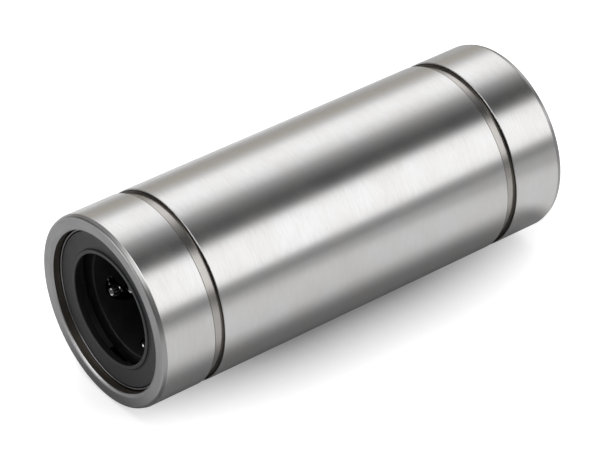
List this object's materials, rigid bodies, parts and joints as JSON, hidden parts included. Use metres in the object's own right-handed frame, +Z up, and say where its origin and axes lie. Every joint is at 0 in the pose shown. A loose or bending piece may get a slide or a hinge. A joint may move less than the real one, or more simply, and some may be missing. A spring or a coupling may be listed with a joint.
{
  "type": "linear bearing",
  "caption": "Long closed linear ball bearing: a ground steel sleeve with retaining ring grooves, recessed lip seals and recirculating ball circuits in tandem cages.",
  "frame": {"origin": "middle of the bearing, on the shaft axis", "axes": "+X along the shaft axis from the front end, which the picture shows, to the rear end; +Z up, with the bearing lying on its side"},
  "size_m": [0.07, 0.028, 0.028],
  "materials": {
    "ground_steel": "ground bearing steel with a fine circumferential grain",
    "ball_steel": "polished bearing balls",
    "spring_steel": "dark spring steel",
    "case_steel": "pressed steel, satin",
    "black_rubber": "matt moulded rubber",
    "dark_resin": "dark moulded resin"
  },
  "bodies": {
    "sleeve_assembly": {"outer_sleeve": "ground_steel", "middle_spacer_ring": "dark_resin", "front_ball_cage": "dark_resin", "front_snap_ring": "spring_steel", "front_seal_case": "case_steel", "front_lip_seal": "black_rubber", "rear_ball_cage": "dark_resin", "rear_snap_ring": "spring_steel", "rear_seal_case": "case_steel", "rear_lip_seal": "black_rubber"},
    "front_circuit_1_loaded_row": {"front_circuit_1_loaded_balls": "ball_steel"},
    "front_circuit_1_return_row": {"front_circuit_1_return_balls": "ball_steel"},
    "front_circuit_1_outer_turn": {"front_circuit_1_outer_turn_balls": "ball_steel"},
    "front_circuit_1_inner_turn": {"front_circuit_1_inner_turn_balls": "ball_steel"},
    "front_circuit_2_loaded_row": {"front_circuit_2_loaded_balls": "ball_steel"},
    "front_circuit_2_return_row": {"front_circuit_2_return_balls": "ball_steel"},
    "front_circuit_2_outer_turn": {"front_circuit_2_outer_turn_balls": "ball_steel"},
    "front_circuit_2_inner_turn": {"front_circuit_2_inner_turn_balls": "ball_steel"},
    "front_circuit_3_loaded_row": {"front_circuit_3_loaded_balls": "ball_steel"},
    "front_circuit_3_return_row": {"front_circuit_3_return_balls": "ball_steel"},
    "front_circuit_3_outer_turn": {"front_circuit_3_outer_turn_balls": "ball_steel"},
    "front_circuit_3_inner_turn": {"front_circuit_3_inner_turn_balls": "ball_steel"},
    "front_circuit_4_loaded_row": {"front_circuit_4_loaded_balls": "ball_steel"},
    "front_circuit_4_return_row": {"front_circuit_4_return_balls": "ball_steel"},
    "front_circuit_4_outer_turn": {"front_circuit_4_outer_turn_balls": "ball_steel"},
    "front_circuit_4_inner_turn": {"front_circuit_4_inner_turn_balls": "ball_steel"},
    "front_circuit_5_loaded_row": {"front_circuit_5_loaded_balls": "ball_steel"},
    "front_circuit_5_return_row": {"front_circuit_5_return_balls": "ball_steel"},
    "front_circuit_5_outer_turn": {"front_circuit_5_outer_turn_balls": "ball_steel"},
    "front_circuit_5_inner_turn": {"front_circuit_5_inner_turn_balls": "ball_steel"},
    "rear_circuit_1_loaded_row": {"rear_circuit_1_loaded_balls": "ball_steel"},
    "rear_circuit_1_return_row": {"rear_circuit_1_return_balls": "ball_steel"},
    "rear_circuit_1_outer_turn": {"rear_circuit_1_outer_turn_balls": "ball_steel"},
    "rear_circuit_1_inner_turn": {"rear_circuit_1_inner_turn_balls": "ball_steel"},
    "rear_circuit_2_loaded_row": {"rear_circuit_2_loaded_balls": "ball_steel"},
    "rear_circuit_2_return_row": {"rear_circuit_2_return_balls": "ball_steel"},
    "rear_circuit_2_outer_turn": {"rear_circuit_2_outer_turn_balls": "ball_steel"},
    "rear_circuit_2_inner_turn": {"rear_circuit_2_inner_turn_balls": "ball_steel"},
    "rear_circuit_3_loaded_row": {"rear_circuit_3_loaded_balls": "ball_steel"},
    "rear_circuit_3_return_row": {"rear_circuit_3_return_balls": "ball_steel"},
    "rear_circuit_3_outer_turn": {"rear_circuit_3_outer_turn_balls": "ball_steel"},
    "rear_circuit_3_inner_turn": {"rear_circuit_3_inner_turn_balls": "ball_steel"},
    "rear_circuit_4_loaded_row": {"rear_circuit_4_loaded_balls": "ball_steel"},
    "rear_circuit_4_return_row": {"rear_circuit_4_return_balls": "ball_steel"},
    "rear_circuit_4_outer_turn": {"rear_circuit_4_outer_turn_balls": "ball_steel"},
    "rear_circuit_4_inner_turn": {"rear_circuit_4_inner_turn_balls": "ball_steel"},
    "rear_circuit_5_loaded_row": {"rear_circuit_5_loaded_balls": "ball_steel"},
    "rear_circuit_5_return_row": {"rear_circuit_5_return_balls": "ball_steel"},
    "rear_circuit_5_outer_turn": {"rear_circuit_5_outer_turn_balls": "ball_steel"},
    "rear_circuit_5_inner_turn": {"rear_circuit_5_inner_turn_balls": "ball_steel"}
  },
  "joints": [
    {"name": "front_circuit_1_loaded_slide", "type": "slide", "parent": "sleeve_assembly", "child": "front_circuit_1_loaded_row", "axis": [-1, 0, 0], "range_m": [-0.00136, 0.00136]},
    {"name": "front_circuit_1_return_slide", "type": "slide", "parent": "sleeve_assembly", "child": "front_circuit_1_return_row", "axis": [-1, 0, 0], "range_m": [-0.00136, 0.00136]},
    {"name": "front_circuit_1_outer_turn_hinge", "type": "hinge", "parent": "sleeve_assembly", "child": "front_circuit_1_outer_turn", "pos_m": [-0.02583, -0.0004, -0.00957], "axis": [0, -0.2414, -0.9704], "range_deg": [-34.8, 34.8]},
    {"name": "front_circuit_1_inner_turn_hinge", "type": "hinge", "parent": "sleeve_assembly", "child": "front_circuit_1_inner_turn", "pos_m": [-0.00647, -0.0004, -0.00957], "axis": [0, -0.2414, -0.9704], "range_deg": [-34.8, 34.8]},
    {"name": "front_circuit_2_loaded_slide", "type": "slide", "parent": "sleeve_assembly", "child": "front_circuit_2_loaded_row", "axis": [-1, 0, 0], "range_m": [-0.00136, 0.00136]},
    {"name": "front_circuit_2_return_slide", "type": "slide", "parent": "sleeve_assembly", "child": "front_circuit_2_return_row", "axis": [-1, 0, 0], "range_m": [-0.00136, 0.00136]},
    {"name": "front_circuit_2_outer_turn_hinge", "type": "hinge", "parent": "sleeve_assembly", "child": "front_circuit_2_outer_turn", "pos_m": [-0.02583, -0.00923, -0.00258], "axis": [0, -0.9975, -0.0703], "range_deg": [-34.8, 34.8]},
    {"name": "front_circuit_2_inner_turn_hinge", "type": "hinge", "parent": "sleeve_assembly", "child": "front_circuit_2_inner_turn", "pos_m": [-0.00647, -0.00923, -0.00258], "axis": [0, -0.9975, -0.0703], "range_deg": [-34.8, 34.8]},
    {"name": "front_circuit_3_loaded_slide", "type": "slide", "parent": "sleeve_assembly", "child": "front_circuit_3_loaded_row", "axis": [-1, 0, 0], "range_m": [-0.00136, 0.00136]},
    {"name": "front_circuit_3_return_slide", "type": "slide", "parent": "sleeve_assembly", "child": "front_circuit_3_return_row", "axis": [-1, 0, 0], "range_m": [-0.00136, 0.00136]},
    {"name": "front_circuit_3_outer_turn_hinge", "type": "hinge", "parent": "sleeve_assembly", "child": "front_circuit_3_outer_turn", "pos_m": [-0.02583, -0.0053, 0.00798], "axis": [0, -0.3751, 0.927], "range_deg": [-34.8, 34.8]},
    {"name": "front_circuit_3_inner_turn_hinge", "type": "hinge", "parent": "sleeve_assembly", "child": "front_circuit_3_inner_turn", "pos_m": [-0.00647, -0.0053, 0.00798], "axis": [0, -0.3751, 0.927], "range_deg": [-34.8, 34.8]},
    {"name": "front_circuit_4_loaded_slide", "type": "slide", "parent": "sleeve_assembly", "child": "front_circuit_4_loaded_row", "axis": [-1, 0, 0], "range_m": [-0.00136, 0.00136]},
    {"name": "front_circuit_4_return_slide", "type": "slide", "parent": "sleeve_assembly", "child": "front_circuit_4_return_row", "axis": [-1, 0, 0], "range_m": [-0.00136, 0.00136]},
    {"name": "front_circuit_4_outer_turn_hinge", "type": "hinge", "parent": "sleeve_assembly", "child": "front_circuit_4_outer_turn", "pos_m": [-0.02583, 0.00595, 0.00751], "axis": [0, 0.7657, 0.6432], "range_deg": [-34.8, 34.8]},
    {"name": "front_circuit_4_inner_turn_hinge", "type": "hinge", "parent": "sleeve_assembly", "child": "front_circuit_4_inner_turn", "pos_m": [-0.00647, 0.00595, 0.00751], "axis": [0, 0.7657, 0.6432], "range_deg": [-34.8, 34.8]},
    {"name": "front_circuit_5_loaded_slide", "type": "slide", "parent": "sleeve_assembly", "child": "front_circuit_5_loaded_row", "axis": [-1, 0, 0], "range_m": [-0.00136, 0.00136]},
    {"name": "front_circuit_5_return_slide", "type": "slide", "parent": "sleeve_assembly", "child": "front_circuit_5_return_row", "axis": [-1, 0, 0], "range_m": [-0.00136, 0.00136]},
    {"name": "front_circuit_5_outer_turn_hinge", "type": "hinge", "parent": "sleeve_assembly", "child": "front_circuit_5_outer_turn", "pos_m": [-0.02583, 0.00898, -0.00334], "axis": [0, 0.8483, -0.5295], "range_deg": [-34.8, 34.8]},
    {"name": "front_circuit_5_inner_turn_hinge", "type": "hinge", "parent": "sleeve_assembly", "child": "front_circuit_5_inner_turn", "pos_m": [-0.00647, 0.00898, -0.00334], "axis": [0, 0.8483, -0.5295], "range_deg": [-34.8, 34.8]},
    {"name": "rear_circuit_1_loaded_slide", "type": "slide", "parent": "sleeve_assembly", "child": "rear_circuit_1_loaded_row", "axis": [1, 0, 0], "range_m": [-0.00136, 0.00136]},
    {"name": "rear_circuit_1_return_slide", "type": "slide", "parent": "sleeve_assembly", "child": "rear_circuit_1_return_row", "axis": [1, 0, 0], "range_m": [-0.00136, 0.00136]},
    {"name": "rear_circuit_1_outer_turn_hinge", "type": "hinge", "parent": "sleeve_assembly", "child": "rear_circuit_1_outer_turn", "pos_m": [0.02583, 0.00365, -0.00886], "axis": [0, 0.5588, -0.8293], "range_deg": [-34.8, 34.8]},
    {"name": "rear_circuit_1_inner_turn_hinge", "type": "hinge", "parent": "sleeve_assembly", "child": "rear_circuit_1_inner_turn", "pos_m": [0.00647, 0.00365, -0.00886], "axis": [0, 0.5588, -0.8293], "range_deg": [-34.8, 34.8]},
    {"name": "rear_circuit_2_loaded_slide", "type": "slide", "parent": "sleeve_assembly", "child": "rear_circuit_2_loaded_row", "axis": [1, 0, 0], "range_m": [-0.00136, 0.00136]},
    {"name": "rear_circuit_2_return_slide", "type": "slide", "parent": "sleeve_assembly", "child": "rear_circuit_2_return_row", "axis": [1, 0, 0], "range_m": [-0.00136, 0.00136]},
    {"name": "rear_circuit_2_outer_turn_hinge", "type": "hinge", "parent": "sleeve_assembly", "child": "rear_circuit_2_outer_turn", "pos_m": [0.02583, 0.00955, 0.00073], "axis": [0, 0.9614, 0.2751], "range_deg": [-34.8, 34.8]},
    {"name": "rear_circuit_2_inner_turn_hinge", "type": "hinge", "parent": "sleeve_assembly", "child": "rear_circuit_2_inner_turn", "pos_m": [0.00647, 0.00955, 0.00073], "axis": [0, 0.9614, 0.2751], "range_deg": [-34.8, 34.8]},
    {"name": "rear_circuit_3_loaded_slide", "type": "slide", "parent": "sleeve_assembly", "child": "rear_circuit_3_loaded_row", "axis": [1, 0, 0], "range_m": [-0.00136, 0.00136]},
    {"name": "rear_circuit_3_return_slide", "type": "slide", "parent": "sleeve_assembly", "child": "rear_circuit_3_return_row", "axis": [1, 0, 0], "range_m": [-0.00136, 0.00136]},
    {"name": "rear_circuit_3_outer_turn_hinge", "type": "hinge", "parent": "sleeve_assembly", "child": "rear_circuit_3_outer_turn", "pos_m": [0.02583, 0.00225, 0.00931], "axis": [0, 0.0354, 0.9994], "range_deg": [-34.8, 34.8]},
    {"name": "rear_circuit_3_inner_turn_hinge", "type": "hinge", "parent": "sleeve_assembly", "child": "rear_circuit_3_inner_turn", "pos_m": [0.00647, 0.00225, 0.00931], "axis": [0, 0.0354, 0.9994], "range_deg": [-34.8, 34.8]},
    {"name": "rear_circuit_4_loaded_slide", "type": "slide", "parent": "sleeve_assembly", "child": "rear_circuit_4_loaded_row", "axis": [1, 0, 0], "range_m": [-0.00136, 0.00136]},
    {"name": "rear_circuit_4_return_slide", "type": "slide", "parent": "sleeve_assembly", "child": "rear_circuit_4_return_row", "axis": [1, 0, 0], "range_m": [-0.00136, 0.00136]},
    {"name": "rear_circuit_4_outer_turn_hinge", "type": "hinge", "parent": "sleeve_assembly", "child": "rear_circuit_4_outer_turn", "pos_m": [0.02583, -0.00816, 0.00502], "axis": [0, -0.9395, 0.3425], "range_deg": [-34.8, 34.8]},
    {"name": "rear_circuit_4_inner_turn_hinge", "type": "hinge", "parent": "sleeve_assembly", "child": "rear_circuit_4_inner_turn", "pos_m": [0.00647, -0.00816, 0.00502], "axis": [0, -0.9395, 0.3425], "range_deg": [-34.8, 34.8]},
    {"name": "rear_circuit_5_loaded_slide", "type": "slide", "parent": "sleeve_assembly", "child": "rear_circuit_5_loaded_row", "axis": [1, 0, 0], "range_m": [-0.00136, 0.00136]},
    {"name": "rear_circuit_5_return_slide", "type": "slide", "parent": "sleeve_assembly", "child": "rear_circuit_5_return_row", "axis": [1, 0, 0], "range_m": [-0.00136, 0.00136]},
    {"name": "rear_circuit_5_outer_turn_hinge", "type": "hinge", "parent": "sleeve_assembly", "child": "rear_circuit_5_outer_turn", "pos_m": [0.02583, -0.0073, -0.00621], "axis": [0, -0.6161, -0.7877], "range_deg": [-34.8, 34.8]},
    {"name": "rear_circuit_5_inner_turn_hinge", "type": "hinge", "parent": "sleeve_assembly", "child": "rear_circuit_5_inner_turn", "pos_m": [0.00647, -0.0073, -0.00621], "axis": [0, -0.6161, -0.7877], "range_deg": [-34.8, 34.8]}
  ],
  "couplings": [
    {"joint": "front_circuit_1_return_slide", "follows": "front_circuit_1_loaded_slide", "ratio": -1},
    {"joint": "front_circuit_1_outer_turn_hinge", "follows": "front_circuit_1_loaded_slide", "rad_per_m": 444.64},
    {"joint": "front_circuit_1_inner_turn_hinge", "follows": "front_circuit_1_loaded_slide", "rad_per_m": 444.64},
    {"joint": "front_circuit_2_return_slide", "follows": "front_circuit_2_loaded_slide", "ratio": -1},
    {"joint": "front_circuit_2_outer_turn_hinge", "follows": "front_circuit_2_loaded_slide", "rad_per_m": 444.64},
    {"joint": "front_circuit_2_inner_turn_hinge", "follows": "front_circuit_2_loaded_slide", "rad_per_m": 444.64},
    {"joint": "front_circuit_3_return_slide", "follows": "front_circuit_3_loaded_slide", "ratio": -1},
    {"joint": "front_circuit_3_outer_turn_hinge", "follows": "front_circuit_3_loaded_slide", "rad_per_m": 444.64},
    {"joint": "front_circuit_3_inner_turn_hinge", "follows": "front_circuit_3_loaded_slide", "rad_per_m": 444.64},
    {"joint": "front_circuit_4_return_slide", "follows": "front_circuit_4_loaded_slide", "ratio": -1},
    {"joint": "front_circuit_4_outer_turn_hinge", "follows": "front_circuit_4_loaded_slide", "rad_per_m": 444.64},
    {"joint": "front_circuit_4_inner_turn_hinge", "follows": "front_circuit_4_loaded_slide", "rad_per_m": 444.64},
    {"joint": "front_circuit_5_return_slide", "follows": "front_circuit_5_loaded_slide", "ratio": -1},
    {"joint": "front_circuit_5_outer_turn_hinge", "follows": "front_circuit_5_loaded_slide", "rad_per_m": 444.64},
    {"joint": "front_circuit_5_inner_turn_hinge", "follows": "front_circuit_5_loaded_slide", "rad_per_m": 444.64},
    {"joint": "rear_circuit_1_return_slide", "follows": "rear_circuit_1_loaded_slide", "ratio": -1},
    {"joint": "rear_circuit_1_outer_turn_hinge", "follows": "rear_circuit_1_loaded_slide", "rad_per_m": 444.64},
    {"joint": "rear_circuit_1_inner_turn_hinge", "follows": "rear_circuit_1_loaded_slide", "rad_per_m": 444.64},
    {"joint": "rear_circuit_2_return_slide", "follows": "rear_circuit_2_loaded_slide", "ratio": -1},
    {"joint": "rear_circuit_2_outer_turn_hinge", "follows": "rear_circuit_2_loaded_slide", "rad_per_m": 444.64},
    {"joint": "rear_circuit_2_inner_turn_hinge", "follows": "rear_circuit_2_loaded_slide", "rad_per_m": 444.64},
    {"joint": "rear_circuit_3_return_slide", "follows": "rear_circuit_3_loaded_slide", "ratio": -1},
    {"joint": "rear_circuit_3_outer_turn_hinge", "follows": "rear_circuit_3_loaded_slide", "rad_per_m": 444.64},
    {"joint": "rear_circuit_3_inner_turn_hinge", "follows": "rear_circuit_3_loaded_slide", "rad_per_m": 444.64},
    {"joint": "rear_circuit_4_return_slide", "follows": "rear_circuit_4_loaded_slide", "ratio": -1},
    {"joint": "rear_circuit_4_outer_turn_hinge", "follows": "rear_circuit_4_loaded_slide", "rad_per_m": 444.64},
    {"joint": "rear_circuit_4_inner_turn_hinge", "follows": "rear_circuit_4_loaded_slide", "rad_per_m": 444.64},
    {"joint": "rear_circuit_5_return_slide", "follows": "rear_circuit_5_loaded_slide", "ratio": -1},
    {"joint": "rear_circuit_5_outer_turn_hinge", "follows": "rear_circuit_5_loaded_slide", "rad_per_m": 444.64},
    {"joint": "rear_circuit_5_inner_turn_hinge", "follows": "rear_circuit_5_loaded_slide", "rad_per_m": 444.64}
  ]
}
